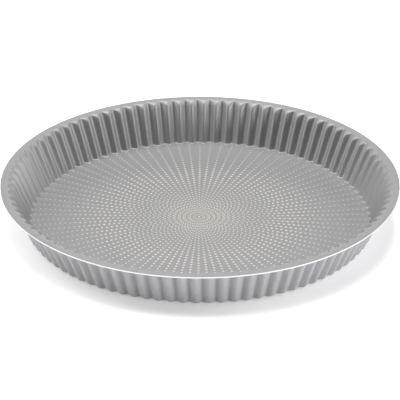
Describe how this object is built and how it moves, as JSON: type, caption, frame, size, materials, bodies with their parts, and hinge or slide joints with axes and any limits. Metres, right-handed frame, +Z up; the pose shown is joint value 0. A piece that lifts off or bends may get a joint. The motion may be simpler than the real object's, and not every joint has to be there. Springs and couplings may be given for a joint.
{
  "type": "pie pan",
  "caption": "Round fluted pie pan pressed from coated sheet, with a flared rippled wall, a narrow flat rim and a flat base for baking tarts, pies and quiches.",
  "frame": {"origin": "middle of the underside, on the surface that the pan stands on", "axes": "+Z up along the pan's axis of symmetry, out of its mouth; +X through a ridge between two flutes"},
  "size_m": [0.283, 0.283, 0.0308],
  "materials": {
    "nonstick_lining": "warm grey non-stick coat, satin, with rows of fine pale printed dots on the base",
    "pressed_sheet": "bare cut aluminium, bright, seen only at the trimmed edge of the rim",
    "outer_lacquer": "cool grey lacquer, satin"
  },
  "bodies": {
    "root": {"nonstick_lining": "nonstick_lining", "pressed_sheet": "pressed_sheet", "outer_lacquer": "outer_lacquer"}
  },
  "joints": []
}
